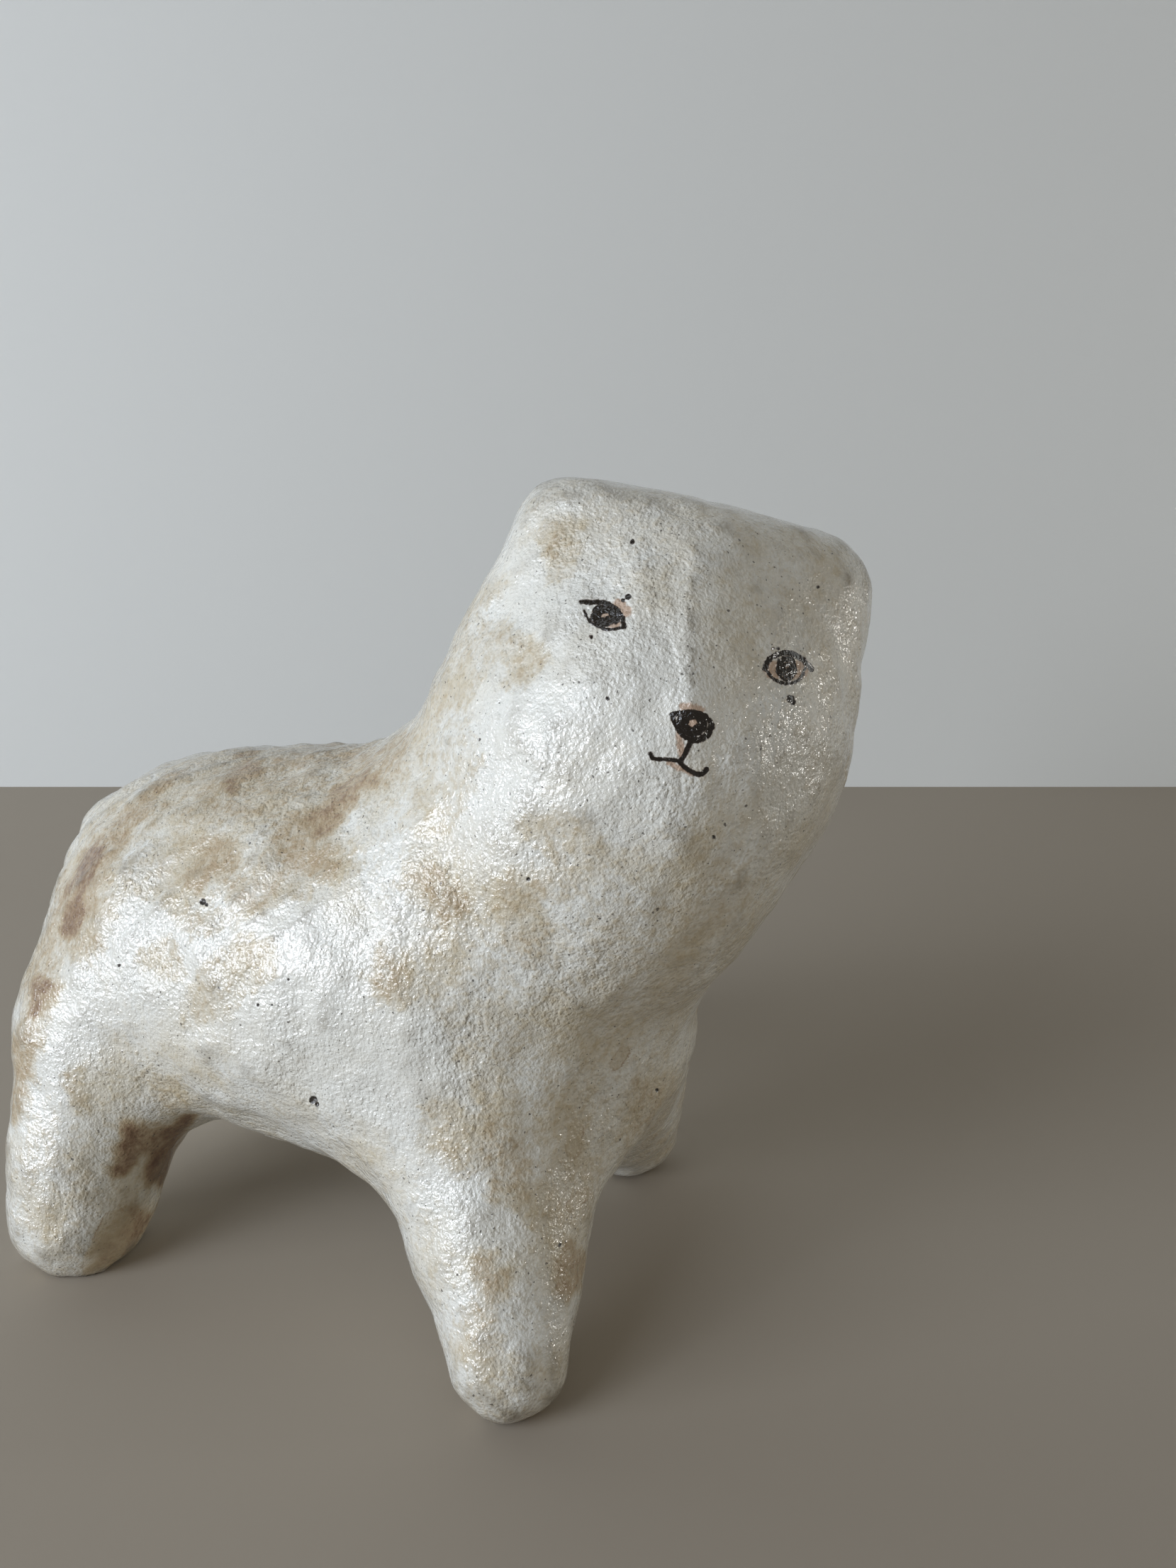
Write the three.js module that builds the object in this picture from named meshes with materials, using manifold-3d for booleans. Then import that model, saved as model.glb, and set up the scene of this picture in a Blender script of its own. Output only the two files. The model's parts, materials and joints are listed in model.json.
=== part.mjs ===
// A hand-built stoneware bear on four stub legs, its head turned to its right.
// Millimetres, +Z up. The body faces +X and its left side is towards +Y.
// The form is one skin round a blend of rounded limbs, given as signed distances.
import * as THREE from "three";
import { mergeVertices } from "three/addons/utils/BufferGeometryUtils.js";
import Module from "manifold-3d";

const wasm = await Module();
wasm.setup();

const { abs, ceil, hypot, max, min } = Math;
const radians = THREE.MathUtils.degToRad;

// Each leg is a cone with round ends, from its foot on the ground to its hip inside the trunk.
// Sole is how much of the round foot is flattened away where it stands.
const legs = {
  frontRight: { foot: [69, -54], footRadius: 14.5, sole: 2, hip: [48, -20, 50], hipRadius: 32 },
  frontLeft: { foot: [61, 47], footRadius: 16.5, sole: 2, hip: [56, 15, 62], hipRadius: 34 },
  hindRight: { foot: [-65, -48], footRadius: 19.5, sole: 5.5, hip: [-63, -32, 59], hipRadius: 25 },
  hindLeft: { foot: [-65, 46], footRadius: 19, sole: 5, hip: [-60, 32, 60], hipRadius: 25 },
};
const legBlend = 21;

// The trunk, from the rump to the chest.
const trunk = [
  { at: [-44, 0, 83.5], radius: 49 },
  { at: [0, 0, 82.5], radius: 46 },
  { at: [36, 0, 89], radius: 50 },
];
const trunkBlend = 36;

// The neck, a column that leans forward from the shoulders into the head.
const neck = [
  { at: [51, 0, 113.5], radius: 36 },
  { at: [68.5, 0, 124], radius: 37.5 },
  { at: [84, -3.5, 153], radius: 41 },
];
const neckBlend = 18;

// The head, a block with round corners for ears. Turn is from straight ahead to the bear's right,
// nod tips the face down and roll lowers its left ear. The block grows towards the jaw by the
// flare. The cheeks fall back by their slopes from a ridge down the face, to the right of its middle.
const head = {
  centre: [87.5, 3, 168.5],
  turn: 60,
  nod: 4,
  roll: -12.5,
  halfDepth: 19.5,
  halfWidth: 43.5,
  halfHeight: 34,
  corner: 11,
  flareWide: 0.06,
  flareDeep: 0.09,
  ridge: -3.5,
  ridgeRadius: 3,
  rightCheek: 0.42,
  leftCheek: 0.22,
};
const headBlend = 22;

// The tail, a small tongue of clay pressed onto the top of the rump.
const tail = { root: [-79, -3, 113], rootRadius: 7, tip: [-90, -4.5, 107.5], tipRadius: 4.8, blend: 6 };

// The skin is laid in cells of this side, within a space that holds the whole bear.
const cell = 5.7;
const space = { low: [-112, -87, -18], high: [148, 87, 224] };

// A point is drawn onto the skin in a few passes. The slope of the distance is taken over a short
// step, and is never held to be flatter than the least.
const settling = { passes: 3, step: 0.05, leastSlope: 0.3 };

// The ground the bear stands on.
const slab = { side: 400, thickness: 30 };

function cone(x, y, z, a, b, radiusA, radiusB) {
  const [bx, by, bz] = [b[0] - a[0], b[1] - a[1], b[2] - a[2]];
  const along = (x - a[0]) * bx + (y - a[1]) * by + (z - a[2]) * bz;
  const t = min(1, max(0, along / (bx * bx + by * by + bz * bz)));
  const away = hypot(x - a[0] - bx * t, y - a[1] - by * t, z - a[2] - bz * t);
  return away - (radiusA + (radiusB - radiusA) * t);
}

function blend(a, b, width) {
  const near = max(width - abs(a - b), 0) / width;
  return min(a, b) - (near * near * width) / 4;
}

function chain(x, y, z, stations) {
  let d = Infinity;
  for (let i = 1; i < stations.length; i++) {
    const [a, b] = [stations[i - 1], stations[i]];
    const link = cone(x, y, z, a.at, b.at, a.radius, b.radius);
    d = i === 1 ? link : blend(d, link, trunkBlend);
  }
  return d;
}

const headAngles = new THREE.Euler(
  radians(head.roll),
  radians(head.nod),
  radians(-head.turn),
  "ZYX",
);
const intoHead = new THREE.Matrix4()
  .makeRotationFromEuler(headAngles)
  .setPosition(...head.centre)
  .invert();
const inHead = new THREE.Vector3();

function headBlock(x, y, z) {
  const p = inHead.set(x, y, z).applyMatrix4(intoHead);
  const drop = -p.z / head.halfHeight;
  const front = THREE.MathUtils.smoothstep(p.x, -head.halfDepth / 2, head.halfDepth / 2);
  const aside = p.y - head.ridge;
  const cheek = hypot(aside, head.ridgeRadius) - head.ridgeRadius;
  const fall = cheek * (aside < 0 ? head.rightCheek : head.leftCheek);
  const depth = (p.x + fall * front) / (1 + head.flareDeep * drop);
  const qx = abs(depth) - head.halfDepth + head.corner;
  const qy = abs(p.y / (1 + head.flareWide * drop)) - head.halfWidth + head.corner;
  const qz = abs(p.z) - head.halfHeight + head.corner;
  const outside = hypot(max(qx, 0), max(qy, 0), max(qz, 0));
  return outside + min(max(qx, qy, qz), 0) - head.corner;
}

function bear(x, y, z) {
  let d = chain(x, y, z, trunk);
  for (const leg of Object.values(legs)) {
    const foot = [...leg.foot, leg.footRadius - leg.sole];
    d = blend(d, cone(x, y, z, foot, leg.hip, leg.footRadius, leg.hipRadius), legBlend);
  }
  const top = blend(chain(x, y, z, neck), headBlock(x, y, z), headBlend);
  d = blend(d, top, neckBlend);
  const stub = cone(x, y, z, tail.root, tail.tip, tail.rootRadius, tail.tipRadius);
  return blend(d, stub, tail.blend);
}

// The eight corners of a cell, and the twelve edges that join them.
const corners = Array.from({ length: 8 }, (_, c) => new THREE.Vector3(c & 1, (c >> 1) & 1, c >> 2));
const edges = corners.flatMap((_, c) =>
  [1, 2, 4].filter((bit) => !(c & bit)).map((bit) => [corners[c], corners[c | bit]]),
);

// Draws a point onto the surface, down the slope of the distance.
function settle(p, distance) {
  const { passes, step, leastSlope } = settling;
  for (let pass = 0; pass < passes; pass++) {
    const d = distance(p.x, p.y, p.z);
    const slope = new THREE.Vector3(
      distance(p.x + step, p.y, p.z) - d,
      distance(p.x, p.y + step, p.z) - d,
      distance(p.x, p.y, p.z + step) - d,
    ).divideScalar(step);
    p.addScaledVector(slope, -d / max(slope.lengthSq(), leastSlope * leastSlope));
  }
}

// One point in each cell that the surface crosses, and a quad round each edge that it cuts.
function skin(distance, { low, high }) {
  const n = low.map((v, i) => ceil((high[i] - v) / cell) + 1);
  const id = (i, j, k) => (k * n[1] + j) * n[0] + i;
  const field = new Float32Array(n[0] * n[1] * n[2]);
  const visitAll = (from, short, visit) => {
    for (let k = from; k < n[2] - short; k++) {
      for (let j = from; j < n[1] - short; j++) {
        for (let i = from; i < n[0] - short; i++) visit(i, j, k);
      }
    }
  };
  visitAll(0, 0, (i, j, k) => {
    field[id(i, j, k)] = distance(low[0] + i * cell, low[1] + j * cell, low[2] + k * cell);
  });

  const points = [];
  const pointIn = new Map();
  visitAll(0, 1, (i, j, k) => {
    const sum = new THREE.Vector3();
    let crossings = 0;
    for (const [a, b] of edges) {
      const da = field[id(i + a.x, j + a.y, k + a.z)];
      const db = field[id(i + b.x, j + b.y, k + b.z)];
      if (da < 0 === db < 0) continue;
      sum.add(a.clone().lerp(b, da / (da - db)));
      crossings++;
    }
    if (!crossings) return;
    const p = sum.divideScalar(crossings).add(new THREE.Vector3(i, j, k));
    p.multiplyScalar(cell).add(new THREE.Vector3(...low));
    settle(p, distance);
    pointIn.set(id(i, j, k), points.length);
    points.push(p);
  });

  const index = [];
  const quad = (cells, flip) => {
    const q = cells.map((c) => pointIn.get(c));
    if (flip) q.reverse();
    const [a, b, c, d] = q.map((v) => points[v]);
    if (a.distanceToSquared(c) < b.distanceToSquared(d))
      index.push(q[0], q[1], q[2], q[0], q[2], q[3]);
    else index.push(q[1], q[2], q[3], q[1], q[3], q[0]);
  };
  visitAll(1, 1, (i, j, k) => {
    const here = field[id(i, j, k)] < 0;
    const [iBack, jBack, kBack] = [i - 1, j - 1, k - 1];
    if (here !== field[id(i + 1, j, k)] < 0)
      quad([id(i, jBack, kBack), id(i, j, kBack), id(i, j, k), id(i, jBack, k)], !here);
    if (here !== field[id(i, j + 1, k)] < 0)
      quad([id(iBack, j, kBack), id(iBack, j, k), id(i, j, k), id(i, j, kBack)], !here);
    if (here !== field[id(i, j, k + 1)] < 0)
      quad([id(iBack, jBack, k), id(i, jBack, k), id(i, j, k), id(iBack, j, k)], !here);
  });
  return { vertProperties: new Float32Array(points.flatMap((p) => p.toArray())), index };
}

function solidFrom(vertProperties, index) {
  const triVerts = new Uint32Array(index);
  return new wasm.Manifold(new wasm.Mesh({ numProp: 3, vertProperties, triVerts }));
}

// The ground is a slab whose top is at z = 0: what reaches into it is cut off flat for the soles.
function ground({ side, thickness }) {
  const box = new THREE.BoxGeometry(side, side, thickness).translate(0, 0, -thickness / 2);
  box.deleteAttribute("normal");
  box.deleteAttribute("uv");
  const merged = mergeVertices(box);
  return solidFrom(merged.getAttribute("position").array, merged.index.array);
}

const { vertProperties, index } = skin(bear, space);
const clay = solidFrom(vertProperties, index).subtract(ground(slab)).getMesh();

const form = new THREE.BufferGeometry();
form.setAttribute("position", new THREE.BufferAttribute(clay.vertProperties, 3));
form.setIndex(new THREE.BufferAttribute(clay.triVerts, 1));
form.computeBoundingBox();
const middle = form.boundingBox.getCenter(new THREE.Vector3());
form.computeVertexNormals();

const stoneware = new THREE.MeshStandardMaterial({ color: 0xd9d6cb, roughness: 0.35, metalness: 0 });
const body = new THREE.Mesh(form, stoneware);
body.name = "bear";
body.position.set(-middle.x, -middle.y, 0);

const group = new THREE.Group();
group.add(body);
export default group;
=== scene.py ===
import json
import math

import bmesh
import bpy
import numpy as np
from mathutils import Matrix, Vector, noise
from mathutils.bvhtree import BVHTree

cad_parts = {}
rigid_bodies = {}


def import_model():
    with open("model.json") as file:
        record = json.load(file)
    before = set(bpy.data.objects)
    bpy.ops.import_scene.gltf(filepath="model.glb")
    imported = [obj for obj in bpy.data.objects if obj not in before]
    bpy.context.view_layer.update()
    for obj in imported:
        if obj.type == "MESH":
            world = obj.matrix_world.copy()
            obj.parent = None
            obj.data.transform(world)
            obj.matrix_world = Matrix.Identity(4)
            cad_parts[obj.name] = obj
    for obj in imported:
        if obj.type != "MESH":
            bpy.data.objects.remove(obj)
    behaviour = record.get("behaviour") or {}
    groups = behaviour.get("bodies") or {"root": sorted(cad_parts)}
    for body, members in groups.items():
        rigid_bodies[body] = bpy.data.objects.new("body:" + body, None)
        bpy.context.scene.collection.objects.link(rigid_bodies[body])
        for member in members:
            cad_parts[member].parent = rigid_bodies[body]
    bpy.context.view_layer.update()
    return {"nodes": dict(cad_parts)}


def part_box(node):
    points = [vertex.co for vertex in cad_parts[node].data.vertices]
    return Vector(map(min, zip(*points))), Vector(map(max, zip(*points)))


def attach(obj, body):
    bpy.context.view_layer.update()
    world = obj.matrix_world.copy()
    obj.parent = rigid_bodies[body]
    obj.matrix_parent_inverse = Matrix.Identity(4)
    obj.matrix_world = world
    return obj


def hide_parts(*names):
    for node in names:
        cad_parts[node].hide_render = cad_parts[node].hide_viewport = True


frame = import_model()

mm = 0.001  # metres in a millimetre
farOff = 50.0  # the distance to a mark where none is near, in millimetres


# Every colour is written as sRGB hex, as read off the glaze, and turned to linear here.
def toLinear(hexColour):
    channels = [int(hexColour[i : i + 2], 16) / 255 for i in (1, 3, 5)]
    return [c / 12.92 if c <= 0.04045 else ((c + 0.055) / 1.055) ** 2.4 for c in channels] + [1.0]


# The camera stands at the photograph's viewing angle. Its place is in millimetres from the middle of the
# feet, its turn is from looking along +Y, and its focal length is in pixels of the photograph. The
# height of its sensor and the nearest thing it can see are in millimetres.
view = {
    "photoSize": (1659, 2212),
    "place": (153.4, -257.95, 210.0),
    "turn": 22.0,
    "tilt": 14.9,
    "focal": 1661.0,
    "sensor": 24.0,
    "nearest": 10.0,
}


def makeCamera():
    lens = bpy.data.cameras.new("photoCamera")
    lens.sensor_fit = "VERTICAL"
    lens.sensor_height = view["sensor"]
    lens.lens = view["sensor"] * view["focal"] / view["photoSize"][1]
    lens.clip_start = view["nearest"] * mm
    camera = bpy.data.objects.new("photoCamera", lens)
    camera.location = Vector(view["place"]) * mm
    camera.rotation_euler = (math.radians(90 - view["tilt"]), 0, math.radians(view["turn"]))
    bpy.context.scene.collection.objects.link(camera)
    bpy.context.scene.camera = camera
    bpy.context.view_layer.update()
    return camera


camera = makeCamera()
print("camera placed")


# Where each point of the body falls in the photograph, in its pixels, and how many millimetres one
# pixel spans there.
def inPhoto(points):
    turn = np.array(camera.matrix_world.to_3x3())
    local = (points - np.array(camera.location)) @ turn
    away = -local[:, 2]
    width, height = view["photoSize"]
    x = width / 2 + view["focal"] * local[:, 0] / away
    y = height / 2 - view["focal"] * local[:, 1] / away
    return np.stack([x, y], 1), away / view["focal"] / mm


# The clay body, pressed into shape by hand: how far apart each kind of dent is and how far it stands
# proud, in millimetres. Points closer than the weld become one. The skin is laid in a grid and smoothed
# in passes, but for the soles, and the whole of it swells a little. The combed ridges run from the
# saddle down and back over the rump. They fade out ahead of their front and below their foot, which
# dips towards the rump. The ridge down the face to the nose is pinched sharp: its path, and the length
# it fades in over, are in pixels of the photograph.
clay = {
    "weld": 0.01,
    "grid": 1.65,
    "smoothing": 14,
    "sole": 0.2,
    "swell": 0.15,
    "seed": (3.1, 7.7, 1.3),
    "seedStep": 5.3,
    "dents": {
        "palm": {"size": 30, "height": 1.1},
        "finger": {"size": 12, "height": 0.9},
        "thumb": {"size": 5.5, "height": 0.42},
    },
    "comb": {
        "across": 6.5,
        "along": 45,
        "height": 0.5,
        "sharpness": 2.6,
        "heading": (-0.76, -0.51, -0.41),
        "outward": (0, -0.6, 0.8),
        "front": 30,
        "frontFade": 40,
        "foot": 100,
        "footFade": 25,
        "dip": 0.3,
    },
    "ridge": {"path": [(982, 760), (974, 850), (972, 1010)], "fade": 160, "reach": 9.0, "height": 1.4},
}


# Turns a piece and its modifiers into a plain mesh.
def settled(piece):
    bpy.context.view_layer.update()
    seen = piece.evaluated_get(bpy.context.evaluated_depsgraph_get())
    mesh = bpy.data.meshes.new_from_object(seen)
    piece.modifiers.clear()
    piece.data = mesh
    return mesh


def readPoints(mesh):
    flat = np.empty(len(mesh.vertices) * 3)
    mesh.vertices.foreach_get("co", flat)
    return flat.reshape(-1, 3)


def readNormals(mesh):
    flat = np.empty(len(mesh.vertices) * 3)
    mesh.vertex_normals.foreach_get("vector", flat)
    return flat.reshape(-1, 3)


def readEdges(mesh):
    flat = np.empty(len(mesh.edges) * 2, int)
    mesh.edges.foreach_get("vertices", flat)
    return flat.reshape(-1, 2)


def writePoints(mesh, points):
    mesh.vertices.foreach_set("co", points.ravel())
    mesh.update()


def writeAttribute(mesh, name, values):
    attribute = mesh.attributes.new(name, "FLOAT", "POINT")
    attribute.data.foreach_set("value", values.astype(np.float32))


# Draws each point half way to the middle of its neighbours, as many times as there are passes.
def relaxed(points, edges, passes, onGround=None):
    for _ in range(passes):
        total = np.zeros_like(points)
        count = np.zeros(len(points))
        for a, b in (edges.T, edges.T[::-1]):
            np.add.at(total, a, points[b])
            np.add.at(count, a, 1)
        middle = total / np.maximum(count, 1)[:, None]
        moved = points + 0.5 * (middle - points)
        if onGround is not None:
            moved[onGround, 2] = points[onGround, 2]
        points = moved
    return points


def noiseAt(points, size, seed):
    origin = Vector(clay["seed"]) + Vector((seed, seed, seed))
    return np.array([noise.noise(Vector(p) + origin) for p in points / (size * mm)])


# Long low ridges over the rump and the back, the same way down on both sides.
def combedRidges(points):
    comb = clay["comb"]
    along = Vector(comb["heading"]).normalized()
    out = Vector(comb["outward"])
    across = along.cross(out).normalized()
    sided = points * np.where(points[:, 1:2] > 0, (1, -1, 1), (1, 1, 1))
    axes = np.array([across / comb["across"], along / comb["along"], out / comb["along"]]) / mm
    wave = np.array([noise.noise(Vector(p)) for p in sided @ axes.T])
    x, z = points[:, 0] / mm, points[:, 2] / mm
    behind = np.clip((comb["front"] - x) / comb["frontFade"], 0, 1)
    behind *= np.clip((z - comb["foot"] - comb["dip"] * x) / comb["footFade"], 0, 1)
    return (1 - comb["sharpness"] * np.abs(wave)) * behind * comb["height"] * mm


# How far each pixel is from a path, in pixels.
def awayFrom(pixels, path):
    if len(path) == 1:
        return np.linalg.norm(pixels - path[0], axis=1)
    nearest = np.full(len(pixels), np.inf)
    for a, b in zip(path, path[1:]):
        d = b - a
        t = np.clip((pixels - a) @ d / max(d @ d, 1e-9), 0, 1)
        nearest = np.minimum(nearest, np.linalg.norm(pixels - a - t[:, None] * d, axis=1))
    return nearest


def pinchedRidge(points, normals):
    ridge = clay["ridge"]
    pixels, pixelSize = inPhoto(points)
    distance = awayFrom(pixels, np.array(ridge["path"], float)) * pixelSize
    towards = (normals * (np.array(camera.location) - points)).sum(1) > 0
    grown = np.clip((pixels[:, 1] - ridge["path"][0][1]) / ridge["fade"], 0, 1)
    return np.clip(1 - distance / ridge["reach"], 0, 1) ** 2 * towards * grown * ridge["height"] * mm


def makeBody():
    source = bmesh.new()
    source.from_mesh(frame["nodes"]["bear"].data)
    bmesh.ops.remove_doubles(source, verts=source.verts, dist=clay["weld"] * mm)
    mesh = bpy.data.meshes.new("bearBody")
    source.to_mesh(mesh)
    source.free()
    body = bpy.data.objects.new("bearBody", mesh)
    bpy.context.scene.collection.objects.link(body)
    skin = body.modifiers.new("skin", "REMESH")
    skin.mode = "VOXEL"
    skin.voxel_size = clay["grid"] * mm
    mesh = settled(body)

    # The facets are smoothed away, and the flat soles stay on the ground.
    points = readPoints(mesh)
    points = relaxed(points, readEdges(mesh), clay["smoothing"], points[:, 2] < clay["sole"] * mm)
    writePoints(mesh, points)
    relief = np.full(len(points), clay["swell"] * mm)
    for i, dent in enumerate(clay["dents"].values()):
        relief += noiseAt(points, dent["size"], clay["seedStep"] * i) * dent["height"] * mm
    normals = readNormals(mesh)
    relief += combedRidges(points) + pinchedRidge(points, normals)
    points += normals * relief[:, None]
    low, high = (np.array(corner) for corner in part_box("bear"))
    writePoints(mesh, np.clip(points, low, high))
    return body


body = makeBody()
print("clay body:", len(body.data.polygons), "faces")


# The painted face, as strokes of a fine brush. Each path is in pixels of the photograph, and each width
# is the width of the mark in millimetres. A scribble is a spiral round a small bare middle, and wobbles
# as it turns. The faces of the body are halved within each of the refining distances from a mark, in
# millimetres.
paint = {
    "strokes": {
        "rightUpperLid": {
            "width": 0.95,
            "path": [(820, 849), (834, 850), (852, 850), (866, 857), (876, 868), (881, 884)],
        },
        "rightLowerLid": {
            "width": 0.55,
            "path": [(824, 862), (831, 875), (844, 884), (860, 888), (880, 885)],
        },
        "leftUpperLid": {
            "width": 1.1,
            "path": [
                (1079, 943), (1083, 933), (1093, 925), (1110, 921), (1127, 927), (1137, 935), (1145, 944),
            ],
        },
        "leftLowerLid": {
            "width": 0.65,
            "path": [(1081, 946), (1092, 958), (1109, 964), (1127, 959), (1136, 942)],
        },
        "noseTop": {
            "width": 1.0,
            "path": [(948, 1009), (958, 1006), (975, 1005), (991, 1008), (1002, 1018), (1005, 1026)],
        },
        "noseLeft": {"width": 0.9, "path": [(948, 1009), (953, 1022), (962, 1036), (974, 1044)]},
        "noseRight": {"width": 1.25, "path": [(1004, 1022), (998, 1036), (986, 1044), (974, 1044)]},
        "lip": {"width": 0.95, "path": [(975, 1044), (970, 1056), (965, 1066), (959, 1074)]},
        "mouthRight": {
            "width": 0.75,
            "path": [(958, 1074), (945, 1072), (932, 1071), (921, 1070), (917, 1062)],
        },
        "mouthLeft": {
            "width": 0.95,
            "path": [(959, 1076), (968, 1084), (981, 1091), (990, 1092), (997, 1085)],
        },
    },
    "scribbles": {
        "rightIris": {"at": (853, 869), "radius": (20, 15.5), "hole": 5.0, "turns": 3, "width": 0.8},
        "leftIris": {"at": (1110, 942), "radius": (14, 19), "hole": 2.5, "turns": 3.5, "width": 0.62},
        "noseFill": {"at": (977, 1021), "radius": (20, 16), "hole": 7.5, "turns": 2.5, "width": 1.05},
    },
    "dots": [
        {"at": (892, 764), "radius": 0.5},
        {"at": (879, 847), "radius": 0.35},
        {"at": (886, 842), "radius": 0.6},
        {"at": (1091, 915), "radius": 0.3},
        {"at": (1098, 915), "radius": 0.35},
        {"at": (1115, 986), "radius": 0.8},
        {"at": (1119, 991), "radius": 0.5},
        {"at": (834, 899), "radius": 0.35},
        {"at": (857, 986), "radius": 0.35},
    ],
    "washes": [
        {"from": (872, 852), "to": (884, 862), "radius": 1.2},
        {"from": (844, 868), "to": (866, 878), "radius": 1.5},
        {"from": (964, 997), "to": (988, 1002), "radius": 1.0},
        {"from": (958, 1036), "to": (962, 1066), "radius": 0.8},
        {"from": (944, 1076), "to": (975, 1090), "radius": 0.7},
        {"from": (1090, 945), "to": (1128, 945), "radius": 2.0},
        {"from": (977, 1019), "to": (982, 1023), "radius": 1.3},
    ],
    "stepsInSpan": 8,
    "stepsInTurn": 28,
    "startAngle": 0.6,
    "wobble": 0.06,
    "lobes": 5,
    "refining": (4.0, 1.6, 0.9),
}

# Pinholes in the glaze: where they are in the photograph, and their radius, their depth and the width
# of their sides in millimetres.
pits = {
    "depth": 0.5,
    "side": 0.6,
    "spots": [
        {"at": (286, 1272), "radius": 0.85},
        {"at": (291, 1276), "radius": 0.5},
        {"at": (442, 1552), "radius": 1.0},
        {"at": (447, 1558), "radius": 0.6},
        {"at": (676, 1043), "radius": 0.4},
        {"at": (745, 1240), "radius": 0.45},
        {"at": (168, 1362), "radius": 0.4},
        {"at": (407, 1382), "radius": 0.35},
        {"at": (364, 1418), "radius": 0.4},
        {"at": (383, 1418), "radius": 0.35},
        {"at": (927, 1538), "radius": 0.5},
        {"at": (1007, 1181), "radius": 0.45},
        {"at": (790, 1756), "radius": 0.4},
        {"at": (1154, 828), "radius": 0.4},
    ],
}

# Drops of thin glaze that dried to a tan stain with a brown rim.
drips = [
    {"from": (813, 1588), "to": (808, 1622), "radius": 1.9},
    {"from": (880, 1484), "to": (868, 1502), "radius": 1.4},
    {"from": (806, 1702), "to": (826, 1682), "radius": 1.5},
    {"from": (166, 1730), "to": (140, 1786), "radius": 4.5},
]


# A smooth path through the points of a stroke, as many short straight pieces.
def brushPath(path):
    ends = [np.array(p, float) for p in path]
    run = [2 * ends[0] - ends[1]] + ends + [2 * ends[-1] - ends[-2]]
    points = []
    for p0, p1, p2, p3 in zip(run, run[1:], run[2:], run[3:]):
        for t in np.linspace(0, 1, paint["stepsInSpan"], endpoint=False):
            cubic = 3 * p1 - p0 - 3 * p2 + p3
            square = 2 * p0 - 5 * p1 + 4 * p2 - p3
            points.append(0.5 * (2 * p1 + (p2 - p0) * t + square * t * t + cubic * t * t * t))
    return np.array(points + [ends[-1]])


def scribblePath(mark):
    steps = int(paint["stepsInTurn"] * mark["turns"])
    points = []
    for i in range(steps + 1):
        t = i / steps
        angle = 2 * math.pi * mark["turns"] * t + paint["startAngle"]
        grown = t + paint["wobble"] * math.sin(paint["lobes"] * angle)
        rx, ry = (mark["hole"] + (r - mark["hole"]) * grown for r in mark["radius"])
        points.append((mark["at"][0] + rx * math.cos(angle), mark["at"][1] + ry * math.sin(angle)))
    return np.array(points)


# A mark is a path in pixels of the photograph, with half its width in millimetres.
def spotMark(spot):
    return np.array([spot["at"]], float), spot["radius"]


def spanMark(span):
    return np.array([span["from"], span["to"]], float), span["radius"]


def inkMarks():
    marks = [(brushPath(s["path"]), s["width"] / 2) for s in paint["strokes"].values()]
    marks += [(scribblePath(s), s["width"] / 2) for s in paint["scribbles"].values()]
    return marks + [spotMark(s) for s in paint["dots"]]


# Distance in millimetres to the nearest mark, less than nothing inside it. Only the points within a
# reach of the mark, in pixels, are measured from it.
def markDistance(pixels, pixelSize, marks, reach=60):
    distance = np.full(len(pixels), farOff)
    for path, half in marks:
        near = np.all((pixels > path.min(0) - reach) & (pixels < path.max(0) + reach), axis=1)
        d = awayFrom(pixels[near], path) * pixelSize[near] - half
        distance[near] = np.minimum(distance[near], d)
    return distance


# How well each point is seen from the camera, from 0 to 1. It fades out where the surface turns away,
# and is 0 behind another part of the body.
def visibility(mesh, points, normals, fade=0.2, slack=2 * mm):
    toCamera = np.array(camera.location) - points
    distance = np.linalg.norm(toCamera, axis=1)
    facing = np.clip((normals * toCamera).sum(1) / distance / fade, 0, 1)
    tree = BVHTree.FromPolygons([v.co for v in mesh.vertices], [p.vertices for p in mesh.polygons])
    for i in np.nonzero(facing)[0]:
        _, _, _, reach = tree.ray_cast(camera.location, Vector(-toCamera[i]))
        if reach is not None and reach < distance[i] - slack:
            facing[i] = 0
    return facing


# Cuts the faces near a painted mark or a pit smaller, so that its edge is crisp.
def refineMarks(mesh, marks):
    for reach in paint["refining"]:
        points, normals = readPoints(mesh), readNormals(mesh)
        pixels, pixelSize = inPhoto(points)
        near = (markDistance(pixels, pixelSize, marks) < reach) & (visibility(mesh, points, normals) > 0)
        work = bmesh.new()
        work.from_mesh(mesh)
        edges = [e for e in work.edges if near[e.verts[0].index] or near[e.verts[1].index]]
        bmesh.ops.subdivide_edges(work, edges=edges, cuts=1, use_grid_fill=True, smooth=0)
        bmesh.ops.triangulate(work, faces=[f for f in work.faces if len(f.verts) > 4])
        work.to_mesh(mesh)
        work.free()
        mesh.update()


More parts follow.
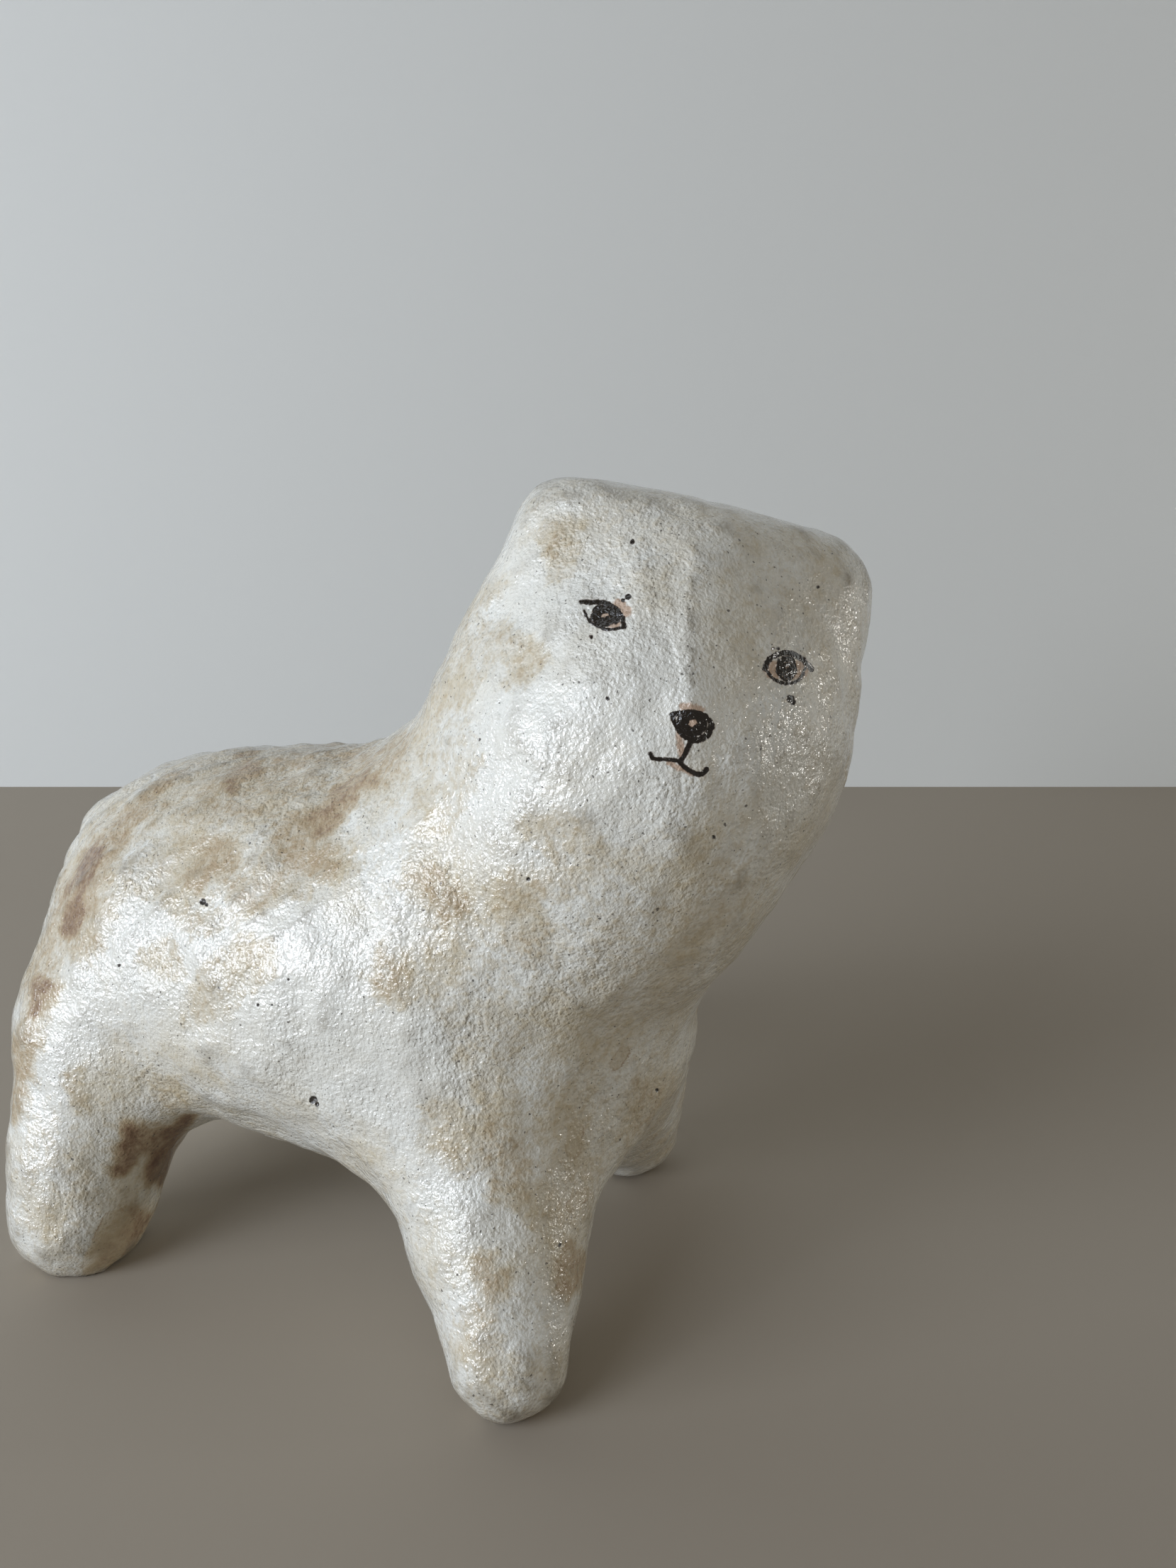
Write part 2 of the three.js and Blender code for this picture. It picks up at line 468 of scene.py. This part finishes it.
# Where the glaze ran thin and burnt to buff, ochre or brown: pixels of the photograph, a radius in
# millimetres, and how thin it is, with brown at 1. The two chest patches are painted shade instead: warm
# buff laid where the chest sits in shade. The thick patches are partly glaze pooled thick and partly
# painted sheen: they keep a clean milky white where the glaze shines brightest, but a patch over the
# least depth shows through them. A patch is deepest in its core and falls off past it. Its edge wanders,
# and that of a narrow patch wanders less. What the photograph hides has patches of noise in two sizes,
# a little less deep.
glaze = {
    "thinAndPaintedLight": [
        # the rump and its edge
        {"from": (130, 1205), "to": (103, 1300), "radius": 2.9, "depth": 0.98},
        {"from": (150, 1185), "to": (132, 1275), "radius": 5.0, "depth": 0.58},
        {"from": (232, 1100), "to": (150, 1190), "radius": 5.0, "depth": 0.62},
        {"from": (62, 1392), "to": (53, 1422), "radius": 2.3, "depth": 0.92},
        {"from": (95, 1240), "to": (42, 1440), "radius": 3.5, "depth": 0.48},
        {"from": (108, 1322), "to": (122, 1340), "radius": 4.5, "depth": 0.45},
        {"from": (32, 1455), "to": (24, 1560), "radius": 4.0, "depth": 0.6},
        {"from": (200, 1230), "to": (260, 1260), "radius": 7.0, "depth": 0.3},
        # the back and the saddle
        {"from": (352, 1074), "to": (326, 1098), "radius": 3.6, "depth": 0.8},
        {"from": (300, 1125), "to": (430, 1090), "radius": 9.0, "depth": 0.48},
        {"from": (400, 1070), "to": (520, 1060), "radius": 5.0, "depth": 0.58},
        {"from": (560, 1050), "to": (280, 1080), "radius": 9.0, "depth": 0.42},
        {"from": (575, 1045), "to": (500, 1110), "radius": 5.0, "depth": 0.55},
        {"from": (512, 1104), "to": (446, 1162), "radius": 3.4, "depth": 0.8},
        {"from": (415, 1175), "to": (455, 1215), "radius": 6.0, "depth": 0.6},
        {"from": (385, 1215), "to": (405, 1245), "radius": 5.0, "depth": 0.4},
        {"from": (285, 1212), "to": (320, 1230), "radius": 5.5, "depth": 0.6},
        {"from": (380, 1250), "to": (350, 1264), "radius": 4.5, "depth": 0.5},
        # the flank
        {"from": (285, 1290), "to": (305, 1300), "radius": 3.5, "depth": 0.4},
        {"from": (220, 1360), "to": (240, 1350), "radius": 5.0, "depth": 0.3},
        {"from": (300, 1400), "to": (350, 1360), "radius": 6.0, "depth": 0.34},
        {"from": (545, 1368), "to": (556, 1395), "radius": 4.5, "depth": 0.5},
        {"from": (640, 1380), "to": (660, 1480), "radius": 8.0, "depth": 0.2},
        # the shoulder and the chest
        {"from": (592, 1240), "to": (630, 1285), "radius": 4.5, "depth": 0.58},
        {"from": (745, 1245), "to": (705, 1270), "radius": 4.5, "depth": 0.42},
        {"from": (730, 1332), "to": (765, 1318), "radius": 4.5, "depth": 0.42},
        {"from": (770, 1370), "to": (800, 1540), "radius": 8.0, "depth": 0.2},
        {"from": (692, 1440), "to": (704, 1570), "radius": 5.0, "depth": 0.24},
        {"from": (790, 1180), "to": (820, 1220), "radius": 7.0, "depth": 0.32},
        # painted shade: these two chest patches lay warm buff where the chest sits in shade
        {"from": (900, 1380), "to": (1000, 1280), "radius": 13.0, "depth": 0.3},
        {"from": (900, 1450), "to": (870, 1520), "radius": 8.0, "depth": 0.16},
        # the front legs
        {"from": (688, 1600), "to": (722, 1670), "radius": 5.5, "depth": 0.46},
        {"from": (620, 1590), "to": (650, 1620), "radius": 5.0, "depth": 0.35},
        {"from": (676, 1800), "to": (692, 1822), "radius": 4.5, "depth": 0.55},
        {"from": (670, 1880), "to": (684, 1898), "radius": 5.5, "depth": 0.42},
        {"from": (800, 1590), "to": (790, 1700), "radius": 8.0, "depth": 0.3},
        {"from": (815, 1775), "to": (806, 1805), "radius": 3.5, "depth": 0.68},
        {"from": (722, 1935), "to": (718, 1990), "radius": 8.0, "depth": 0.26},
        {"from": (915, 1545), "to": (925, 1610), "radius": 6.0, "depth": 0.45},
        # the right hind leg
        {"from": (180, 1606), "to": (168, 1640), "radius": 3.8, "depth": 1.0},
        {"from": (198, 1618), "to": (238, 1616), "radius": 5.0, "depth": 0.84},
        {"from": (252, 1598), "to": (228, 1650), "radius": 4.2, "depth": 1.05},
        {"from": (196, 1722), "to": (152, 1775), "radius": 6.0, "depth": 0.88},
        {"from": (105, 1515), "to": (110, 1545), "radius": 3.5, "depth": 0.42},
        {"from": (228, 1525), "to": (240, 1545), "radius": 4.0, "depth": 0.42},
        {"from": (78, 1640), "to": (90, 1740), "radius": 9.0, "depth": 0.2},
        # the head and the nape
        {"from": (775, 760), "to": (790, 785), "radius": 4.5, "depth": 0.42},
        {"from": (712, 900), "to": (728, 940), "radius": 4.5, "depth": 0.4},
        {"from": (670, 720), "to": (640, 900), "radius": 8.0, "depth": 0.32},
        {"from": (620, 940), "to": (570, 1040), "radius": 8.0, "depth": 0.34},
        {"from": (660, 1060), "to": (620, 1130), "radius": 7.0, "depth": 0.2},
    ],
    # Partly glaze pooled thick, partly painted sheen: milky white where the glaze shines brightest.
    "thickAndSheen": [
        {"from": (250, 1330), "to": (470, 1400), "radius": 17.0, "depth": 0.5},
        {"from": (400, 1450), "to": (560, 1500), "radius": 12.0, "depth": 0.6},
        {"from": (640, 1560), "to": (700, 1700), "radius": 9.0, "depth": 0.4},
        {"from": (100, 1390), "to": (85, 1500), "radius": 7.0, "depth": 0.4},
        {"from": (800, 980), "to": (930, 960), "radius": 14.0, "depth": 0.4},
        {"from": (760, 820), "to": (690, 1130), "radius": 12.0, "depth": 0.4},
        {"from": (900, 1090), "to": (760, 1160), "radius": 9.0, "depth": 0.3},
    ],
    "core": 1.35,
    "falloff": 0.8,
    "leastDepth": 0.15,
    "wander": {"size": 13, "reach": 5.0, "least": 0.4, "perRadius": 0.1, "seeds": (20.0, 30.0)},
    "hidden": {
        "sizes": (26, 10),
        "seeds": (40.0, 60.0),
        "fine": 0.6,
        "low": -0.05,
        "span": 0.7,
        "depth": 0.62,
    },
    "edge": {"passes": 10, "low": 0.12, "span": 0.35},
}


# How sharply the surface bends outwards, from 0 to 1: glaze runs off such edges.
def convexity(points, edges, normals):
    edge = glaze["edge"]
    drop = ((points - relaxed(points, edges, edge["passes"])) * normals).sum(1) / mm
    return np.clip((drop - edge["low"]) / edge["span"], 0, 1)


# The thinness of the glaze, with painted shade on the chest and painted sheen where it lies thick.
def thinGlazeAndPaintedLight(points, pixels, pixelSize, seen):
    wander, hidden = glaze["wander"], glaze["hidden"]
    size = wander["size"]
    sway = [noiseAt(points, size, s) + 0.5 * noiseAt(points, size / 3, s) for s in wander["seeds"]]
    sway = np.stack(sway, 1) * (wander["reach"] / pixelSize)[:, None]
    layers = {}
    for name in ("thinAndPaintedLight", "thickAndSheen"):
        layer = np.zeros(len(points))
        for patch in glaze[name]:
            path, radius = spanMark(patch)
            swayed = pixels + sway * min(wander["least"] + wander["perRadius"] * radius, 1)
            distance = awayFrom(swayed, path) * pixelSize
            soft = np.clip(glaze["core"] - glaze["falloff"] * distance / radius, 0, 1)
            layer = np.maximum(layer, patch["depth"] * soft * soft * (3 - 2 * soft))
        layers[name] = layer
    thinAndPaintedLight, thickAndSheen = layers["thinAndPaintedLight"], layers["thickAndSheen"]
    # Painted sheen and thick glaze: the thick patches push the value below nothing, towards milky white.
    thinAndPaintedLight = np.where(thinAndPaintedLight > glaze["leastDepth"], thinAndPaintedLight, thinAndPaintedLight - thickAndSheen)
    broad, fine = (noiseAt(points, size, seed) for size, seed in zip(hidden["sizes"], hidden["seeds"]))
    patches = broad + hidden["fine"] * fine
    guessed = np.clip((patches - hidden["low"]) / hidden["span"], 0, 1) * hidden["depth"]
    return thinAndPaintedLight * seen + guessed * (1 - seen)


def paintBody(body):
    marks = inkMarks()
    pitMarks = [spotMark(s) for s in pits["spots"]]
    mesh = body.data
    refineMarks(mesh, marks + pitMarks)
    points, normals, edges = readPoints(mesh), readNormals(mesh), readEdges(mesh)
    pixels, pixelSize = inPhoto(points)
    seen = visibility(mesh, points, normals)
    stains = {
        "ink": marks,
        "wash": [spanMark(w) for w in paint["washes"]],
        "pit": pitMarks,
        "drip": [spanMark(d) for d in drips],
    }
    for name, shapes in stains.items():
        distance = np.where(seen > 0, markDistance(pixels, pixelSize, shapes), farOff)
        writeAttribute(mesh, name, distance)
        if name == "pit":
            sunk = np.clip(-distance / pits["side"], 0, 1) * pits["depth"] * mm
            points = points - normals * sunk[:, None]
    writeAttribute(mesh, "thinAndPaintedLight", thinGlazeAndPaintedLight(points, pixels, pixelSize, seen))
    writeAttribute(mesh, "edge", convexity(points, edges, normals))
    writePoints(mesh, points)
    mesh.shade_smooth()


paintBody(body)
print("face painted:", sum(len(p.vertices) - 2 for p in body.data.polygons), "triangles")


# Adds a node, gives it its settings, and links its inputs to values or to other sockets.
def addNode(tree, kind, settings=None, inputs=None):
    node = tree.nodes.new(kind)
    for name, value in (settings or {}).items():
        setattr(node, name, value)
    for name, value in (inputs or {}).items():
        socket = node.inputs[name]
        if isinstance(value, bpy.types.NodeSocket):
            tree.links.new(value, socket)
        else:
            socket.default_value = value
    return node


# Glazed stoneware: a thick cream-white glaze over iron-flecked clay. Its milky depth gives a wide
# pearly sheen, and its glassy pebbled top breaks reflections into glints. It burns to ochre where it
# ran thin. Sizes and heights are in millimetres. The iron specks and flecks lie in the cells of two
# scattered grids, and a share of the cells holds one.
glazeLook = {
    "white": "#EFF0EA",
    "cream": "#D4C9AF",
    "buff": "#C0B08F",
    "ochre": "#A08360",
    "brown": "#633F25",
    "grey": "#8E887A",
    "worn": "#857C6A",
    "iron": "#2F2822",
    "ink": "#120B09",
    "inkEdge": "#4E311F",
    "wash": "#B98F6B",
    "cloudSize": 16.0,
    "mottleSize": 1.4,
    "raggedSize": 3.6,
    "ragged": 0.9,
    "wornSize": 5.0,
    "rimSize": 5.0,
    "sheenSize": 6.0,
    "pebbleSize": 1.0,
    "pebbleHeight": 0.5,
    "calmSize": 18.0,
    "shakeSize": 0.9,
    "shake": 1.1,
    "crumbSize": 0.6,
    "crumbHeight": 0.24,
    "coatCrumbHeight": 0.12,
    "specks": {"cell": 4.0, "radius": 0.45, "share": 0.4},
    "flecks": {"cell": 1.25, "radius": 0.28, "share": 0.6},
    "ironStrength": 0.8,
    "brushGrain": 0.8,
    "brushShake": 0.7,
    "ior": 1.6,
    "roughness": (0.35, 0.48),
    "thinRoughness": 0.22,
    "inkGloss": 0.3,
    "coat": 1.0,
    "coatRoughness": 0.1,
}


# The scale that gives a texture grains of this size, in millimetres.
def perSize(size):
    return 1 / (size * mm)


def makeGlaze():
    look = glazeLook
    hue = {name: toLinear(given) for name, given in look.items() if isinstance(given, str)}
    material = bpy.data.materials.new("glazedStoneware")
    material.use_nodes = True
    tree = material.node_tree
    tree.nodes.clear()
    place = addNode(tree, "ShaderNodeTexCoord").outputs["Object"]

    def value(name):
        return addNode(tree, "ShaderNodeAttribute", {"attribute_name": name}).outputs["Fac"]

    def grain(size, detail=3.0, roughness=0.5):
        settings = {"Vector": place, "Scale": perSize(size), "Detail": detail, "Roughness": roughness}
        return addNode(tree, "ShaderNodeTexNoise", inputs=settings).outputs["Fac"]

    def fit(source, low, high, toLow=0.0, toHigh=1.0):
        inputs = {"Value": source, "From Min": low, "From Max": high, "To Min": toLow, "To Max": toHigh}
        return addNode(tree, "ShaderNodeMapRange", {"clamp": True}, inputs).outputs["Result"]

    def maths(operation, a, b):
        return addNode(tree, "ShaderNodeMath", {"operation": operation}, {0: a, 1: b}).outputs[0]

    def plus(a, b):
        return maths("ADD", a, b)

    def times(a, b):
        return maths("MULTIPLY", a, b)

    # Turns grain from 0 to 1 into a sway to either side of nothing.
    def sway(source, strength):
        return times(maths("SUBTRACT", source, 0.5), strength)

    def mix(amount, a, b):
        return addNode(tree, "ShaderNodeMix", {"data_type": "RGBA"}, {0: amount, 6: a, 7: b}).outputs[2]

    # The pebbled skin of the glaze, calmer in some places. Its high spots are thin, and show more of
    # the warm clay.
    calm = fit(grain(look["calmSize"], 2.0), 0.35, 0.65, 0.45, 1.0)
    inputs = {"Vector": place, "Scale": perSize(look["shakeSize"])}
    shake = addNode(tree, "ShaderNodeTexNoise", inputs=inputs)
    inputs = {0: shake.outputs["Color"], 1: [look["shake"] * mm] * 3, 2: place}
    shaken = addNode(tree, "ShaderNodeVectorMath", {"operation": "MULTIPLY_ADD"}, inputs).outputs[0]
    inputs = {"Vector": shaken, "Scale": perSize(look["pebbleSize"]), "Smoothness": 0.7}
    grains = addNode(tree, "ShaderNodeTexVoronoi", {"feature": "SMOOTH_F1"}, inputs).outputs["Distance"]
    coarse = sway(grain(2.2 * look["pebbleSize"], 2.0), 1.4)
    pebble = plus(fit(grains, 0.0, 0.75, 0.72, 0.3), coarse)
    crumb = grain(look["crumbSize"], 2.0)
    cloud = fit(grain(look["cloudSize"], 4.0, 0.55), 0.4, 0.64)
    mottle = fit(grain(look["mottleSize"], 4.0, 0.65), 0.5, 0.75)
    high = fit(pebble, 0.45, 0.68)
    warm = plus(times(cloud, 0.7), times(high, 0.3))
    # Below nothing the value is painted sheen and thick glaze, and turns the cream to milky white.
    colour = mix(times(warm, fit(value("thinAndPaintedLight"), -0.4, 0.1, 0.25, 1.0)), hue["white"], hue["cream"])
    colour = mix(times(mottle, fit(value("thinAndPaintedLight"), -0.4, 0.1, 0.12, 0.4)), colour, hue["grey"])

    # Thin glaze burns to buff, then ochre, then brown, in patches with ragged edges. On the chest the buff
    # is painted shade.
    thinAndPaintedLight = plus(value("thinAndPaintedLight"), sway(grain(look["raggedSize"], 6.0, 0.75), look["ragged"]))
    thinAndPaintedLight = plus(thinAndPaintedLight, sway(pebble, 0.35))
    colour = mix(fit(thinAndPaintedLight, 0.05, 0.65, 0.0, 0.9), colour, hue["buff"])
    colour = mix(fit(thinAndPaintedLight, 0.4, 1.05), colour, hue["ochre"])
    colour = mix(fit(thinAndPaintedLight, 0.75, 1.3), colour, hue["brown"])
    worn = times(value("edge"), fit(grain(look["wornSize"], 5.0, 0.65), 0.4, 0.6, 0.3, 0.95))
    colour = mix(worn, colour, hue["worn"])

    # Iron specks and flecks, each of its own size and shape.
    for iron in (look["specks"], look["flecks"]):
        cell, radius = iron["cell"], iron["radius"]
        inputs = {"Vector": shaken, "Scale": perSize(cell)}
        dots = addNode(tree, "ShaderNodeTexVoronoi", {"feature": "F1"}, inputs)
        chance = addNode(tree, "ShaderNodeSeparateColor", inputs={0: dots.outputs["Color"]})
        reach = fit(chance.outputs["Green"], 0.0, 1.0, 0.3 * radius / cell, radius / cell)
        there = maths("LESS_THAN", chance.outputs["Red"], iron["share"])
        close = maths("SUBTRACT", reach, dots.outputs["Distance"])
        dark = times(fit(close, 0.0, 0.08 / cell), there)
        colour = mix(times(dark, look["ironStrength"]), colour, hue["iron"])

    # The painted marks, the drops and the pits, by their distance in millimetres.
    shaky = sway(grain(look["brushGrain"], 3.0), look["brushShake"])
    washed = fit(plus(value("wash"), times(shaky, 2.0)), 0.15, -0.35)
    colour = mix(times(washed, 0.7), colour, hue["wash"])
    dripped = plus(value("drip"), times(shaky, 2.0))
    colour = mix(fit(dripped, 0.1, -0.1, 0.0, 0.45), colour, hue["buff"])
    rim = times(fit(dripped, 0.22, 0.06), fit(dripped, -0.26, -0.1))
    colour = mix(times(rim, fit(grain(look["rimSize"]), 0.45, 0.6, 0.05, 0.7)), colour, hue["ochre"])
    inked = plus(value("ink"), shaky)
    colour = mix(fit(inked, 0.16, 0.0, 0.0, 0.8), colour, hue["inkEdge"])
    colour = mix(fit(inked, 0.04, -0.08), colour, hue["ink"])
    colour = mix(fit(plus(value("pit"), shaky), 0.05, -0.1), colour, hue["iron"])

    # Thin glaze is drier, and the ink is glassy.
    roughness = fit(grain(look["sheenSize"], 4.0), 0.3, 0.7, *look["roughness"])
    roughness = plus(roughness, fit(thinAndPaintedLight, 0.2, 0.9, 0.0, look["thinRoughness"]))
    roughness = times(roughness, fit(inked, 0.04, -0.08, 1.0, look["inkGloss"]))

    # Pebbles under crumbs, which are lower on the coat.
    def bump(height, strength, distance, below=None):
        inputs = {"Strength": strength, "Distance": distance * mm, "Height": height}
        if below is not None:
            inputs["Normal"] = below
        return addNode(tree, "ShaderNodeBump", inputs=inputs).outputs["Normal"]

    pebbled = bump(pebble, calm, look["pebbleHeight"])
    inputs = {
        "Base Color": colour,
        "Roughness": roughness,
        "Normal": bump(crumb, 1.0, look["crumbHeight"], pebbled),
        "IOR": look["ior"],
        "Coat Weight": look["coat"],
        "Coat Roughness": look["coatRoughness"],
        "Coat Normal": bump(crumb, 1.0, look["coatCrumbHeight"], pebbled),
    }
    shader = addNode(tree, "ShaderNodeBsdfPrincipled", inputs=inputs)
    addNode(tree, "ShaderNodeOutputMaterial", inputs={"Surface": shader.outputs[0]})
    return material


body.data.materials.clear()
body.data.materials.append(makeGlaze())
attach(body, "root")
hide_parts("bear")
print("glazed")


# A plain matt table with a plain wall behind it. The light comes from a wide, low window on the left and
# a smaller, dimmer skylight above it, and a small low lamp on the right gives the cheek its glints. The
# lamps point at a spot over the middle of the feet, as high as the aim. Lengths are in millimetres.
studio = {
    "floor": {"material": "plainFloor", "colour": "#AEA598", "roughness": 0.85},
    "wall": {"material": "plainWall", "colour": "#DEE1E0", "roughness": 0.9, "away": 485.0},
    "side": 4000.0,
    "aim": 100,
    "room": {"colour": "#FFF3E0", "strength": 0.165},
    "lamps": {
        "window": {
            "bearing": 60.0,
            "height": 7.0,
            "away": 2000.0,
            "size": (1000.0, 600.0),
            "power": 28.0,
            "colour": "#F0F6FF",
        },
        "glint": {
            "bearing": -90.0,
            "height": -0.5,
            "away": 1500.0,
            "size": (110.0, 150.0),
            "power": 3.4,
            "colour": "#FFFDF8",
        },
        "skylight": {
            "bearing": 44.0,
            "height": 37.0,
            "away": 1500.0,
            "size": (700.0, 450.0),
            "power": 4.8,
            "colour": "#E9F2FF",
        },
    },
}


def makeSheet(name, corners, look):
    material = bpy.data.materials.new(look["material"])
    material.use_nodes = True
    shader = material.node_tree.nodes["Principled BSDF"]
    shader.inputs["Base Color"].default_value = toLinear(look["colour"])
    shader.inputs["Roughness"].default_value = look["roughness"]
    mesh = bpy.data.meshes.new(name)
    mesh.from_pydata([Vector(c) * mm for c in corners], [], [(0, 1, 2, 3)])
    mesh.materials.append(material)
    sheet = bpy.data.objects.new(name, mesh)
    bpy.context.scene.collection.objects.link(sheet)


def lookAlong(turn):
    return Vector((-math.sin(math.radians(turn)), math.cos(math.radians(turn)), 0))


def makeStudio():
    ahead = lookAlong(view["turn"])
    aside = Vector((ahead.y, -ahead.x, 0))
    side, away = studio["side"], studio["wall"]["away"]
    flat = [ahead * a + aside * b for a, b in ((-side, -side), (-side, side), (away, side), (away, -side))]
    makeSheet("floor", flat, studio["floor"])
    foot = [ahead * away - aside * side, ahead * away + aside * side]
    upright = foot + [foot[1] + Vector((0, 0, side)), foot[0] + Vector((0, 0, side))]
    makeSheet("backdrop", upright, studio["wall"])


# A lamp's bearing is from the camera's side of the bear towards the left of the picture, and its height
# is above the level, both in degrees.
def makeLight(name, lamp):
    level = lookAlong(view["turn"] + 180 - lamp["bearing"])
    up = math.radians(lamp["height"])
    middle = Vector((0, 0, studio["aim"]))
    place = middle + (level * math.cos(up) + Vector((0, 0, math.sin(up)))) * lamp["away"]
    data = bpy.data.lights.new(name, "AREA")
    data.shape = "RECTANGLE"
    data.size, data.size_y = (s * mm for s in lamp["size"])
    data.energy = lamp["power"]
    data.color = toLinear(lamp["colour"])[:3]
    light = bpy.data.objects.new(name, data)
    light.location = place * mm
    light.rotation_euler = (place - middle).to_track_quat("Z", "Y").to_euler()
    bpy.context.scene.collection.objects.link(light)


def makeRoom():
    world = bpy.data.worlds.new("room")
    bpy.context.scene.world = world
    world.use_nodes = True
    background = world.node_tree.nodes["Background"]
    background.inputs["Color"].default_value = toLinear(studio["room"]["colour"])
    background.inputs["Strength"].default_value = studio["room"]["strength"]


makeStudio()
for name, lamp in studio["lamps"].items():
    makeLight(name, lamp)
makeRoom()
bpy.context.scene.view_settings.view_transform = "Standard"
print("studio lit")

bpy.context.view_layer.update()
